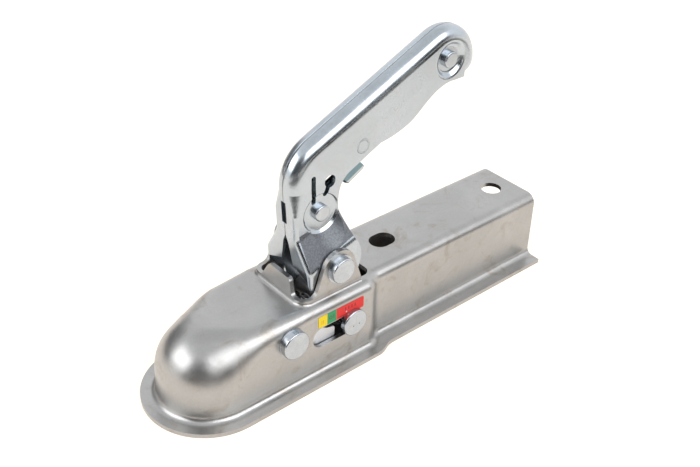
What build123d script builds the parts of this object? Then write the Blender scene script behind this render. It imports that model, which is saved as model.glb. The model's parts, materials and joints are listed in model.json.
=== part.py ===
from build123d import *
import math
import os

# Trailer coupling head for a 50 mm towing ball and a 40 mm square drawbar.
# Millimetres. Origin at the centre of the ball, X towards the drawbar, Z up.
# The lever is modelled raised, with the coupling open.

# Pressed body
sheet = 2.5
ball_diameter = 50.0
ball_clearance = 0.15
socket_radius = ball_diameter / 2 + ball_clearance
dome_radius = socket_radius + sheet
top_z = dome_radius
edge_radius = 6.0
shoulder_radius = 9.5
shoulder_end = 44.4
dome_blend_start = -10.0
dome_blend_end = 22.0
dome_blend_steps = 12
crown_half_flat = 0.5
flange_bottom = -17.0
flange_front_width = 8.6
flange_rear_width = 9.8
flange_bend_radius = 4.0
wall_step_start = 87.0
wall_step_end = 98.0
flange_step_start = 87.0
flange_step_end = 102.0
body_end = 225.0
drawbar_width = 40.0
drawbar_clearance = 0.2
channel_half_width = drawbar_width / 2 + drawbar_clearance + sheet
rear_hole_x = 210.0
bolt_hole_diameter = 12.5
front_slot_x = 119.5
front_slot_length = 16.0

# Lever opening in the top, with its folded lip and ears
opening_front = 47.1
opening_rear = 94.5
ear_inner_y = 19.2
opening_front_corner = 4.0
opening_rear_corner = 5.0
rim_height = 2.8
rim_bend_radius = 2.2
ear_top_radius = 10.6
ear_foot_radius = 4.5
ear_base_front = 54.2
ear_base_rear = 85.0
lip_height = 11.4
lip_top_half_width = 8.8
lip_base_half_width = 13.0
lip_lean = 12.0
lip_corner_radius = 3.0
lip_foot_radius = 3.0

# Pins
pivot_x = 69.7
pivot_z = 42.6
pivot_diameter = 10.0
pivot_head_diameter = 14.5
pivot_head_height = 3.4
jaw_pin_x = 33.5
jaw_pin_z = 15.5
jaw_pin_diameter = 8.0
jaw_head_diameter = 16.0
jaw_head_height = 4.0
jaw_far_head_diameter = 9.6
jaw_far_head_height = 1.2
jaw_washer_margin = 0.2
jaw_far_washer_diameter = 11.4
head_edge_radius = 0.9
washer_thickness = 0.9
washer_margin = 0.9
running_clearance = 0.08

# Indicator slot, the lock pin in it and the label over it
slot_front = 47.5
slot_z = 8.4
slot_height = 12.6
slot_end_gap = 0.6
lock_pin_x = 74.2
lock_pin_rise = 1.0
lock_pin_diameter = 9.0
lock_head_diameter = 15.6
lock_head_height = 3.2
lock_travel = 14.0
slide_gap = 0.3
label_front = 51.0
label_length = 31.0
label_bottom = 15.3
label_height = 7.0
label_thickness = 0.2
label_corner = 0.8

# Handle, two pressed halves that meet at the middle plane
handle_sheet = 2.0
grip_half_width = 7.7
stem_half_width = 8.7
leg_side_gap = 0.5
leg_half_width = ear_inner_y - leg_side_gap
flare_slope = 18.0
flare_top = 40.5
flare_bottom = 24.8
flare_bend_radius = 4.0
front_top_x = 49.4
front_top_z = 88.0
front_bottom_x = 52.8
front_bottom_z = 30.0
grip_slope = 24.1
grip_line_z = 113.2
grip_line_x = 69.7
handle_bend_radius = 26.0
grip_edge_radius = 7.0
stem_edge_radius = 2.4
edge_change_top = 85.5
edge_change_bottom = 74.0
tip_x = 154.6
tip_radius = 22.0
tip_foot_radius = 9.5
leg_pivot_radius = 17.5
leg_arm_radius = 10.0
leg_foot_margin = 3.0
flange_cut_z = 33.5
flange_foot_side_z = 37.8
flange_foot_gap_z = 42.8
handle_travel = 40.0
window_bottom = 67.5
window_top = 80.3
window_half_width = 1.9
gap_top_z = 60.5
gap_knee_z = 55.5
gap_knee_half_width = 2.2
gap_foot_half_width = 4.7

# Handle rivets, eye and side cut-outs
end_rivet_x = 155.7
end_rivet_z = 131.2
neck_rivet_x = 67.3
neck_rivet_z = 71.5
rivet_diameter = 9.2
rivet_stub = 3.0
rivet_neck_diameter = 7.0
spacer_diameter = 11.0
eye_radius = 11.0
eye_floor_radius = 7.0
eye_depth = 2.3
eye_wall_spread = 1.4
eye_wall_root = 0.5
side_slot_x = 63.3
side_slot_z = 85.4
side_slot_length = 16.5
side_slot_width = 2.8
keyhole_x = 74.0
keyhole_z = 87.2
keyhole_diameter = 7.0
keyhole_tail_width = 2.8
keyhole_tail_length = 7.0
keyhole_tail_angle = 242.0
recess_radius = 10.4
recess_slope = 1.0
recess_blend = 1.2

# Ball jaw
jaw_plate = 2.8
jaw_side_gap = 0.45
jaw_outer_y = socket_radius - jaw_side_gap
jaw_boss_radius = 5.8
pivot_sleeve_gap = 1.3
jaw_claw_thickness = 4.4
jaw_claw_top = 1.0
jaw_claw_bottom = -14.0
jaw_claw_front = 15.0
jaw_travel = 11.0
jaw_arm_setback = 9.7
jaw_arm_bottom = 2.0
jaw_tail_radius = 1.5
pin_path_gap = 0.5

# Release catch in the handle
catch_sheet = 2.0
catch_side_gap = 0.5
catch_boss_radius = 7.6
catch_neck_reach = 13.7
catch_neck_rise = 13.9
catch_heel_length = 9.05
catch_heel_blunt = 2.0
catch_pad_length = 11.8
catch_pad_slope = 28.3
catch_toe_blunt = 1.5
catch_side_length = 11.6
catch_side_slope = 132.2
catch_arm_width = 6.0
catch_bend_radius = 2.4
catch_corner_radius = 1.2

# Springs
lock_spring_wire = 1.4
lock_spring_diameter = 9.0
lock_spring_turns = 8
spring_loop_gap = 0.35
small_spring_wire = 1.2
jaw_spring_y = 12.5
jaw_spring_turns = 3.35
jaw_spring_start = 200.0
jaw_spring_leg = 12.0
catch_spring_turns = 3.55
catch_spring_start = 95.0
catch_spring_leg = 9.0
small_spring_pitch = 1.1
small_spring_gap = 0.4

# Worked-out sizes
flange_top = flange_bottom + sheet
ear_outer_y = ear_inner_y + sheet
slot_rear = lock_pin_x + lock_pin_diameter / 2 + slot_end_gap
jaw_arm_rear = lock_pin_x - jaw_arm_setback
lock_pin_z = slot_z + lock_pin_rise
rim_base = top_z - sheet / 2
rim_top = top_z + rim_height
leg_inner_y = leg_half_width - handle_sheet
pivot_sleeve_end = leg_inner_y - pivot_sleeve_gap
grip_inner_y = grip_half_width - handle_sheet
XZ = Plane.XZ
LEFT_OF_CENTRE = (Align.MAX, Align.CENTER, Align.CENTER)


def on_side(sketch, from_y, to_y):
    """A sketch in X and Z made solid between two values of Y."""
    return Pos(0, from_y, 0) * extrude(XZ * sketch, amount=to_y - from_y, dir=(0, 1, 0))


def turned_face(radius, x, z):
    return Pos(x, z) * Circle(radius)


def rod(x, z, diameter, from_y, to_y):
    """A round bar across the part, along Y."""
    return on_side(turned_face(diameter / 2, x, z), from_y, to_y)


def tube(x, z, outer, inner, from_y, to_y):
    return rod(x, z, outer, from_y, to_y) - rod(x, z, inner, from_y - 1, to_y + 1)


def headed_pin(x, z, diameter, near_head, head_y, far_head=None):
    """A pin with a round-edged head on both ends, whose heads bear at plus and minus head_y.

    A head is its diameter and height. The far one is the same as the near one unless it is given.
    """
    body = rod(x, z, diameter, -head_y, head_y)
    for side, (wide, tall) in ((-1, near_head), (1, far_head or near_head)):
        head_face = head_y + tall
        inner, outer = sorted((side * head_y, side * head_face))
        head = rod(x, z, wide, inner, outer)
        rims = head.edges().filter_by(GeomType.CIRCLE)
        outer_rim = [e for e in rims if abs(abs(e.center().Y) - head_face) < 0.01]
        body += fillet(outer_rim, min(head_edge_radius, tall / 2))
    return body


def turned_about(x, z, point, degrees):
    """A point in X and Z turned about another, from X towards Z."""
    angle = math.radians(degrees)
    dx = point[0] - x
    dz = point[1] - z
    return (x + dx * math.cos(angle) - dz * math.sin(angle), z + dx * math.sin(angle) + dz * math.cos(angle))


def stepped_from(point, distance, degrees):
    """The point at a distance from another, in a direction measured from X towards Z."""
    angle = math.radians(degrees)
    return (point[0] + distance * math.cos(angle), point[1] + distance * math.sin(angle))


def s_curve(start, end):
    """Two equal arcs that leave and arrive along X."""
    middle = ((start[0] + end[0]) / 2, (start[1] + end[1]) / 2)
    return [TangentArc(start, middle, tangent=(1, 0)), TangentArc(end, middle, tangent=(-1, 0))]


def stepped_plan(front_x, front_y, rear_y, step_start, step_end):
    """The plan of the body, wide in front and narrow over the drawbar."""
    upper = [Line((front_x, front_y), (step_start, front_y))]
    upper += s_curve((step_start, front_y), (step_end, rear_y))
    upper += [Line((step_end, rear_y), (body_end, rear_y)), Line((body_end, rear_y), (body_end, 0))]
    upper += [Line((front_x, 0), (front_x, front_y))]
    half = make_face(upper + [Line((front_x, 0), (body_end, 0))])
    return half + mirror(half, Plane.XZ)


# Body

def body_section(x, half_width, top, floor, corner):
    """One cross-section of the body, whose top corners may reach the crown."""
    flat = max(half_width - corner, crown_half_flat)
    centre_z = top - corner
    rise = math.sqrt(corner ** 2 - (flat - (half_width - corner)) ** 2)
    angle = math.atan2(rise, flat - (half_width - corner)) / 2
    mid = (half_width - corner + corner * math.cos(angle), centre_z + corner * math.sin(angle))
    end = (flat, centre_z + rise)
    right = ThreePointArc((half_width, centre_z), mid, end)
    left = ThreePointArc((-end[0], end[1]), (-mid[0], mid[1]), (-half_width, centre_z))
    if rise < corner:
        crown = ThreePointArc(end, (0, top), (-end[0], end[1]))
    else:
        crown = Line(end, (-end[0], end[1]))
    walls = [
        Line((-half_width, floor), (half_width, floor)),
        Line((half_width, floor), (half_width, centre_z)),
        right,
        crown,
        left,
        Line((-half_width, centre_z), (-half_width, floor)),
    ]
    plane = Plane(origin=(x, 0, 0), x_dir=(0, 1, 0), z_dir=(1, 0, 0))
    return plane * make_face(walls)


def body_form(inset, floor):
    """The outside of the pressing, or with an inset of the sheet its inside."""
    radius = dome_radius - inset
    top = top_z - inset
    corner = edge_radius - inset
    quarter = [
        Line((0, floor), (radius, floor)),
        Line((radius, floor), (radius, 0)),
        ThreePointArc((radius, 0), (radius * math.sin(math.pi / 4), radius * math.cos(math.pi / 4)), (0, radius)),
        Line((0, radius), (0, floor)),
    ]
    nose = Rot(0, 0, 90) * revolve(XZ * make_face(quarter), Axis.Z, 180)
    nose = nose & Pos(dome_blend_start, 0, 0) * Box(2 * radius, 4 * radius, 4 * radius, align=LEFT_OF_CENTRE)
    sections = []
    for step in range(dome_blend_steps + 1):
        share = step / dome_blend_steps
        ease = share * share * (3 - 2 * share)
        x = dome_blend_start + (dome_blend_end - dome_blend_start) * share
        width = math.sqrt(radius ** 2 - min(x, 0) ** 2)
        sections.append(body_section(x, width, width, floor, width + (shoulder_radius - dome_radius) * ease))
    shoulder = loft(sections)
    neck_start = body_section(dome_blend_end, radius, top, floor, shoulder_radius - inset)
    neck_end = body_section(shoulder_end, radius, top, floor, corner)
    shoulder += loft([neck_start, neck_end], ruled=True)
    plan = stepped_plan(shoulder_end, radius, channel_half_width - inset, wall_step_start, wall_step_end)
    rear = Pos(0, 0, floor) * extrude(plan, amount=top - floor)
    top_edges = [e for e in rear.edges() if abs(e.center().Z - top) < 0.01 and abs(e.center().Y) > 1]
    rear = fillet(top_edges, corner)
    return nose + shoulder + rear


def flange_plate():
    front_edge = dome_radius + flange_front_width
    rear_edge = channel_half_width + flange_rear_width
    plan = stepped_plan(0, front_edge, rear_edge, flange_step_start, flange_step_end)
    plan = plan + Circle(front_edge)
    return Pos(0, 0, flange_bottom) * extrude(plan, amount=sheet)


def wall_edges(solid, z, margin):
    """Edges at one height that run along the foot of the wall."""
    found = []
    for edge in solid.edges():
        box = edge.bounding_box()
        level = abs(box.min.Z - z) < 0.01 and abs(box.max.Z - z) < 0.01
        middle = edge @ 0.5
        inside = max(abs(middle.Y), 0) < margin(middle.X)
        if level and inside and abs(middle.X - body_end) > 0.1:
            found.append(edge)
    return found


def between_wall_and_rim(x):
    """Half the width of a line that lies between the wall and the rim of the flange."""
    front = dome_radius + flange_front_width / 2
    rear = channel_half_width + flange_rear_width / 2
    if x <= 0:
        return math.sqrt(max(front ** 2 - x ** 2, 0))
    share = min(max((x - wall_step_start) / (wall_step_end - wall_step_start), 0), 1)
    return front + (rear - front) * share


def opening_plan(outset):
    """The lever opening in plan, larger by an outset."""
    front = opening_front - outset
    rear = opening_rear + outset
    half = ear_inner_y + outset
    face = Pos((front + rear) / 2, 0) * Rectangle(rear - front, 2 * half)
    front_corners = [v for v in face.vertices() if v.X < (front + rear) / 2]
    face = fillet(front_corners, opening_front_corner + outset)
    rear_corners = [v for v in face.vertices() if v.X > rear - 1]
    return fillet(rear_corners, opening_rear_corner)


def ear_tangent(foot, side):
    """Where a line from a point on the rim touches the round top of the ear."""
    dx = foot[0] - pivot_x
    dz = foot[1] - pivot_z
    angle = math.atan2(dz, dx) + side * math.acos(ear_top_radius / math.hypot(dx, dz))
    return (pivot_x + ear_top_radius * math.cos(angle), pivot_z + ear_top_radius * math.sin(angle))


def rim_profile():
    """Side view of the rim: low in front, then sweeping up to the round top of an ear."""
    front_x = opening_front - sheet
    front_foot = (ear_base_front, rim_top)
    rear_foot = (ear_base_rear, rim_top)
    rise = ear_tangent(front_foot, -1)
    fall = ear_tangent(rear_foot, 1)
    wire = [
        Polyline((ear_base_rear, rim_base), (front_x, rim_base), (front_x, rim_top), front_foot, rise),
        ThreePointArc(rise, (pivot_x, pivot_z + ear_top_radius), fall),
        Polyline(fall, rear_foot, (ear_base_rear, rim_base)),
    ]
    face = make_face([edge for part in wire for edge in part.edges()])
    foot = [v for v in face.vertices() if math.dist((v.X, v.Y), front_foot) < 0.01]
    return fillet(foot, ear_foot_radius)


def opening_rim():
    """The low rim round the opening, with both ears."""
    ring = extrude(opening_plan(sheet), amount=pivot_z) - extrude(opening_plan(0), amount=pivot_z)
    return Pos(0, 0, rim_base) * ring & on_side(rim_profile(), -ear_outer_y, ear_outer_y)


def lip_front_view():
    """A wide low tab with rounded shoulders, whose sides sweep out into the rim."""
    root = ear_inner_y - opening_front_corner
    lip_top = top_z + lip_height
    corners = [(root, rim_base), (root, rim_top), (lip_base_half_width, rim_top),
               (lip_top_half_width, lip_top)]
    mirrored = [(-y, z) for y, z in reversed(corners)]
    face = make_face(Polyline(*corners, *mirrored, close=True))
    feet = [v for v in face.vertices() if abs(abs(v.X) - lip_base_half_width) < 0.01]
    face = fillet(feet, lip_foot_radius)
    return fillet([v for v in face.vertices() if v.Y > lip_top - 0.01], lip_corner_radius)


def lip():
    """The front of the rim carried up as a tab that leans back."""
    front_x = opening_front - sheet
    lean_run = (lip_height - rim_height) * math.tan(math.radians(lip_lean))
    lip_top = top_z + lip_height
    side_view = [
        (front_x, rim_base),
        (opening_front, rim_base),
        (opening_front, rim_top),
        (opening_front + lean_run, lip_top),
        (front_x + lean_run, lip_top),
        (front_x, rim_top),
    ]
    half_width = ear_inner_y - opening_front_corner
    sheet_form = on_side(make_face(Polyline(*side_view, close=True)), -half_width, half_width)
    facing = Plane(origin=(0, 0, 0), x_dir=(0, 1, 0), z_dir=(1, 0, 0))
    return sheet_form & extrude(facing * lip_front_view(), amount=2 * opening_front)


def rim_foot_edges(solid):
    """Edges where the rim rises out of the flat top."""
    found = []
    for edge in solid.edges():
        box = edge.bounding_box()
        level = abs(box.min.Z - top_z) < 0.05 and abs(box.max.Z - top_z) < 0.05
        middle = edge @ 0.5
        along = opening_front - sheet - 0.1 < middle.X < ear_base_rear - 0.1
        on_rim = along and abs(middle.Y) < ear_outer_y + 0.1
        outside = abs(middle.Y) > ear_inner_y + sheet / 2 or middle.X < opening_front - sheet / 2
        if level and on_rim and outside:
            found.append(edge)
    return found


def make_body():
    outer = body_form(0, flange_bottom) + flange_plate()
    outer = fillet(wall_edges(outer, flange_top, between_wall_and_rim), flange_bend_radius)
    body = outer - body_form(sheet, flange_bottom - 1)
    body = fillet(wall_edges(body, flange_bottom, between_wall_and_rim), flange_bend_radius + sheet)
    body += opening_rim()
    body = fillet(rim_foot_edges(body), rim_bend_radius)
    body += lip()
    body -= Pos(0, 0, top_z - 2 * sheet) * extrude(opening_plan(0), amount=2 * sheet)
    for x, length in ((front_slot_x, front_slot_length), (rear_hole_x, bolt_hole_diameter)):
        if length > bolt_hole_diameter:
            hole = SlotOverall(length, bolt_hole_diameter)
        else:
            hole = Circle(bolt_hole_diameter / 2)
        body -= Pos(x, 0, top_z - 2 * sheet) * extrude(hole, amount=4 * sheet)
    slot = Pos((slot_front + slot_rear) / 2, slot_z) * SlotOverall(slot_rear - slot_front, slot_height)
    through = dome_radius + sheet
    body -= on_side(slot, -through, through)
    body -= rod(jaw_pin_x, jaw_pin_z, jaw_pin_diameter, -through, through)
    body -= rod(pivot_x, pivot_z, pivot_diameter, -through, through)
    return body


# Handle

def front_line_x(z):
    """The front of the stem, which leans back a little towards the foot."""
    share = (z - front_bottom_z) / (front_top_z - front_bottom_z)
    return front_bottom_x + (front_top_x - front_bottom_x) * share


def grip_line_height(x):
    return grip_line_z + (x - grip_line_x) * math.tan(math.radians(grip_slope))


def handle_envelope(inset):
    """Side view of the space under the folded back of the handle, open below."""
    slope = math.radians(grip_slope)
    centre_z = grip_line_height(tip_x) - tip_radius / math.cos(slope)
    radius = tip_radius - inset
    top = (tip_x - radius * math.sin(slope), centre_z + radius * math.cos(slope))
    bend_way = (90 - grip_slope) / 2
    middle = stepped_from((tip_x, centre_z), radius, bend_way)
    end = (tip_x + radius, centre_z)
    foot_x = tip_x + tip_radius - tip_foot_radius
    foot_radius = tip_foot_radius - inset
    foot_middle = foot_radius * math.sin(math.pi / 4)
    low = slot_z - leg_pivot_radius
    lean = (front_top_x - front_bottom_x) / (front_top_z - front_bottom_z)
    shift = inset * math.sqrt(1 + lean ** 2)
    rise = math.tan(slope)
    front_x = front_bottom_x + shift - lean * front_bottom_z
    corner_z = (top[1] + (front_x - top[0]) * rise) / (1 - lean * rise)
    corner = (front_x + lean * corner_z, corner_z)
    bottom = (foot_x, centre_z - foot_radius)
    wire = [
        Line((front_x + lean * low, low), corner),
        Line(corner, top),
        ThreePointArc(top, middle, end),
        ThreePointArc(end, (foot_x + foot_middle, centre_z - foot_middle), bottom),
        Line(bottom, (foot_x, low)),
        Line((foot_x, low), (front_x + lean * low, low)),
    ]
    face = make_face(wire)
    bend = [v for v in face.vertices() if abs(v.X - corner[0]) < 0.01 and abs(v.Y - corner[1]) < 0.01]
    return fillet(bend, handle_bend_radius - inset)


def handle_side(inset, upper_half_width):
    """The side of a half seen along its bends: straight, flared out, straight again."""
    flare = math.atan2(leg_half_width - upper_half_width, flare_top - flare_bottom)
    shift = inset * math.tan(flare / 2)
    reach = tip_x + 2 * tip_radius
    corners = [
        (0, reach),
        (-(upper_half_width - inset), reach),
        (-(upper_half_width - inset), flare_top - shift),
        (-(leg_half_width - inset), flare_bottom - shift),
        (-(leg_half_width - inset), -reach),
        (0, -reach),
    ]
    face = make_face(Polyline(*corners, close=True))
    upper = [v for v in face.vertices() if abs(v.Y - corners[2][1]) < 0.01]
    face = fillet(upper, flare_bend_radius + inset)
    lower = [v for v in face.vertices() if abs(v.Y - corners[3][1]) < 0.01 and v.X < -grip_half_width]
    return fillet(lower, flare_bend_radius - inset + handle_sheet)


def stem_plane(z):
    """A plane square to the front of the stem."""
    run = front_top_x - front_bottom_x
    rise = front_top_z - front_bottom_z
    return Plane(origin=(front_line_x(z), 0, z), x_dir=(rise, 0, -run), z_dir=(run, 0, rise))


def stem_section(z, half_width, radius, inset):
    """Half a section across the stem, with its front corner rounded."""
    side = inset - half_width
    r = radius - inset
    short = r * (1 - math.sin(math.pi / 4))
    wire = [
        Line((inset, 0), (inset, side + r)),
        ThreePointArc((inset, side + r), (inset + short, side + short), (inset + r, side)),
        Line((inset + r, side), (tip_x, side)),
        Line((tip_x, side), (tip_x, 0)),
        Line((tip_x, 0), (inset, 0)),
    ]
    return stem_plane(z) * make_face(wire)


def front_edges(solid, inset, above):
    """The long edge between the back of the handle and its side."""
    found = []
    for edge in solid.edges():
        points = [edge @ 0, edge @ 0.5, edge @ 1]
        on_side_face = all(abs(p.Y) > grip_half_width - inset - 0.01 for p in points)
        along = points[2] - points[0]
        on_cut = along.X > 1 and abs(along.Z) < 0.1 * along.X
        if above:
            on_back = all(grip_line_height(p.X) - p.Z < 2 * tip_radius for p in points)
        else:
            on_back = all(abs(p.X - front_line_x(p.Z) - inset) < 0.5 for p in points)
        if on_side_face and on_back and not on_cut:
            found.append(edge)
    return found


def handle_volume(inset):
    """One half of the handle as a full body, before it is hollowed."""
    along = (math.cos(math.radians(flare_slope)), 0, math.sin(math.radians(flare_slope)))
    reach = 2 * tip_x
    side_plane = Plane(origin=(0, 0, 0), x_dir=(0, 1, 0), z_dir=along)
    envelope = on_side(handle_envelope(inset), -leg_half_width, 0)
    middle = (Align.CENTER, Align.CENTER)
    grip = envelope & extrude(side_plane * handle_side(inset, grip_half_width), amount=reach, both=True)
    grip = grip & stem_plane(edge_change_top) * Box(2 * reach, reach, reach, align=(*middle, Align.MIN))
    stem = envelope & extrude(side_plane * handle_side(inset, stem_half_width), amount=reach, both=True)
    stem = stem & stem_plane(edge_change_bottom) * Box(2 * reach, reach, reach, align=(*middle, Align.MAX))
    grip = fillet(front_edges(grip, inset, True), grip_edge_radius - inset)
    stem = fillet(front_edges(stem, inset, False), stem_edge_radius - inset)
    low_section = stem_section(edge_change_bottom, stem_half_width, stem_edge_radius, inset)
    high_section = stem_section(edge_change_top, grip_half_width, grip_edge_radius, inset)
    return grip + loft([low_section, high_section], ruled=True) + stem


def slot_path_end():
    """Where the lock pin stands in the handle's own frame once the handle is down."""
    pin = (lock_pin_x - lock_travel, lock_pin_z)
    return turned_about(pivot_x, pivot_z, pin, handle_travel)


def handle_outline():
    """Side view of a pressed half, cut to its real edge below and behind."""
    far_x = tip_x + 2 * tip_radius
    far_z = grip_line_height(far_x)
    near_x = front_top_x - tip_radius
    bend = [(pivot_x + leg_pivot_radius - 0.4, pivot_z - 2), (84.2, 50.0), (81.2, 60.0), (79.0, 70.0),
            (79.8, 79.6),
            (86.5, 87.8)]
    bulge = [(108.0, 97.8), (121.5, 100.4), (131.0, 104.6), (138.5, 110.4), (146.4, 115.6), (153.6, 118.2),
             (160.0, 118.4)]
    wire = [
        Polyline((near_x, flange_cut_z), (pivot_x, flange_cut_z), bend[0]),
        Spline(*bend),
        Line(bend[-1], bulge[0]),
        Spline(*bulge),
        Polyline(bulge[-1], (far_x, bulge[-1][1]), (far_x, far_z), (near_x, far_z), (near_x, flange_cut_z)),
    ]
    upper = make_face([edge for part in wire for edge in part.edges()])
    foot_radius = lock_pin_diameter / 2 + slide_gap + leg_foot_margin
    end = slot_path_end()
    circles = [
        Circle(leg_arm_radius).edge().moved(Location((pivot_x, pivot_z, 0))),
        Circle(foot_radius).edge().moved(Location((lock_pin_x, lock_pin_z, 0))),
        Circle(foot_radius).edge().moved(Location((end[0], end[1], 0))),
    ]
    return upper + turned_face(leg_pivot_radius, pivot_x, pivot_z) + make_hull(circles)


def slot_between(start, end, width):
    """A straight slot whose ends are centred on two points."""
    length = math.dist(start, end)
    angle = math.degrees(math.atan2(end[1] - start[1], end[0] - start[0]))
    middle = ((start[0] + end[0]) / 2, (start[1] + end[1]) / 2)
    return Pos(*middle) * Rot(0, 0, angle) * SlotCenterToCenter(length, width)


def eye_form(depth, spread, top):
    """The round dish in the end of the grip, turned about its own middle."""
    rim = eye_radius + spread
    floor_rim = eye_floor_radius + spread
    curve = Spline((rim, 0), (floor_rim, -depth), tangents=((-1, 0), (-1, 0)))
    section = [curve, Line((floor_rim, -depth), (0, -depth)), Line((0, -depth), (0, top))]
    section += [Line((0, top), (rim, top)), Line((rim, top), (rim, 0))]
    form = revolve(XZ * make_face(section), Axis.Z, 360)
    return Pos(end_rivet_x, -grip_half_width, end_rivet_z) * Rot(90, 0, 0) * form


def recess_form(deep, spread):
    """The round flat seat of the neck rivet, turned with a wall that opens outwards."""
    rim = recess_radius + spread
    height = leg_half_width
    face = make_face(Polyline((0, -deep), (rim, -deep), (rim + recess_slope * height, height - deep),
                              (0, height - deep),
                              close=True))
    face = fillet([v for v in face.vertices() if abs(v.X - rim) < 0.01], recess_blend + spread)
    form = revolve(XZ * face, Axis.Z, 360)
    return Pos(neck_rivet_x, -grip_half_width, neck_rivet_z) * Rot(90, 0, 0) * form


def make_handle_half():
    """The near half. The far one is its mirror image."""
    full = handle_volume(0)
    half = full - handle_volume(handle_sheet)
    wall_spread = handle_sheet * math.tan(math.atan(1 / recess_slope) / 2)
    half += recess_form(handle_sheet, wall_spread) & full
    half -= recess_form(0, 0)
    half = half & on_side(handle_outline(), -leg_half_width, 0)
    eye_wall = eye_form(eye_depth + handle_sheet, eye_wall_spread, 1)
    around_eye = turned_face(2 * eye_radius, end_rivet_x, end_rivet_z)
    half += eye_wall & on_side(around_eye, -grip_half_width + eye_wall_root, 0)
    half -= eye_form(eye_depth, 0, 1)
    through = leg_half_width + 1
    lock_slot = slot_between((lock_pin_x, lock_pin_z), slot_path_end(), lock_pin_diameter + 4 * slide_gap)
    half -= on_side(lock_slot, -through, 0)
    half -= rod(pivot_x, pivot_z, pivot_diameter + 2 * running_clearance, -through, 0)
    for x, z in ((end_rivet_x, end_rivet_z), (neck_rivet_x, neck_rivet_z)):
        half -= rod(x, z, rivet_neck_diameter, -through, 0)
    side_slot = Pos(side_slot_x, side_slot_z) * Rot(0, 0, 90) * SlotOverall(side_slot_length, side_slot_width)
    tail_angle = math.radians(keyhole_tail_angle)
    tail_end = (keyhole_x + keyhole_tail_length * math.cos(tail_angle),
                keyhole_z + keyhole_tail_length * math.sin(tail_angle))
    keyhole = turned_face(keyhole_diameter / 2, keyhole_x, keyhole_z)
    keyhole += slot_between((keyhole_x, keyhole_z), tail_end, keyhole_tail_width)
    half -= on_side(side_slot + keyhole, -through, -grip_inner_y + 1)
    window_height = window_top - window_bottom
    window = Box(2 * tip_radius, 2 * window_half_width, window_height)
    half -= Pos(front_top_x, 0, (window_top + window_bottom) / 2) * window
    flange_edge_y = -(leg_inner_y - stem_edge_radius + handle_sheet)
    foot = [
        (0, gap_top_z),
        (-gap_knee_half_width, gap_knee_z),
        (-gap_foot_half_width, flange_foot_gap_z),
        (flange_edge_y, flange_foot_side_z),
        (flange_edge_y, flange_cut_z - 1),
        (0, flange_cut_z - 1),
    ]
    foot_plane = Plane(origin=(front_top_x - tip_radius, 0, 0), x_dir=(0, 1, 0), z_dir=(1, 0, 0))
    half -= extrude(foot_plane * make_face(Polyline(*foot, close=True)), amount=2 * tip_radius)
    return half


# Ball jaw

def jaw_arm_outline():
    """Side plate of the jaw: claw, boss on the jaw pin and arm under the lock pin."""
    ramp = []
    for share in (1.0, 0.5, 0.0):
        pin = (lock_pin_x - lock_travel * share, lock_pin_z)
        pin = turned_about(jaw_pin_x, jaw_pin_z, pin, jaw_travel * share)
        drop = lock_pin_diameter / 2 + pin_path_gap
        ramp.append((pin[0] - drop * 0.33, pin[1] - drop * 0.94))
    step_x = ramp[0][0] - lock_pin_diameter / 2 - pin_path_gap
    slope = (ramp[2][1] - ramp[1][1]) / (ramp[2][0] - ramp[1][0])
    tail_z = ramp[1][1] + slope * (jaw_arm_rear - ramp[1][0])
    corners = [
        (jaw_claw_front, jaw_claw_top),
        (jaw_pin_x - jaw_boss_radius, jaw_pin_z),
        (jaw_pin_x, jaw_pin_z + jaw_boss_radius - 0.5),
        (step_x, ramp[0][1] + 3.0),
        ramp[0],
        (jaw_arm_rear, tail_z),
        (jaw_arm_rear, jaw_arm_bottom),
        (slot_front, jaw_arm_bottom),
        (jaw_pin_x, jaw_claw_bottom + 8),
        (jaw_pin_x - jaw_boss_radius, jaw_claw_bottom),
        (jaw_claw_front, jaw_claw_bottom),
    ]
    plate = make_face(Polyline(*corners, close=True))
    tail = [v for v in plate.vertices() if v.X > jaw_arm_rear - 0.1]
    plate = fillet(tail, jaw_tail_radius)
    return plate + turned_face(jaw_boss_radius, jaw_pin_x, jaw_pin_z)


def make_jaw():
    """A pressed jaw that swings in under the ball, cut to the ball's shape."""
    seat_centre = turned_about(jaw_pin_x, jaw_pin_z, (0, 0), jaw_travel)
    height = jaw_claw_top - jaw_claw_bottom
    claw_face = Circle(socket_radius + jaw_claw_thickness)
    claw = Pos(seat_centre[0], 0, jaw_claw_bottom) * extrude(claw_face, amount=height)
    reach = 2 * dome_radius
    claw = claw & Pos(jaw_claw_front + reach / 2, 0, 0) * Box(reach, 2 * jaw_outer_y, reach)
    arm = jaw_arm_outline()
    jaw = claw
    inner_y = jaw_outer_y - jaw_plate
    for from_y in (-jaw_outer_y, inner_y):
        jaw += on_side(arm, from_y, from_y + jaw_plate)
    jaw -= Pos(seat_centre[0], 0, seat_centre[1]) * Sphere(socket_radius)
    jaw -= Pos(0, 0, jaw_claw_bottom - 1) * extrude(Circle(socket_radius + 2 * ball_clearance), amount=reach)
    through = jaw_outer_y + 1
    jaw -= rod(jaw_pin_x, jaw_pin_z, jaw_pin_diameter + 2 * running_clearance, -through, through)
    return jaw


# Release catch

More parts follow.
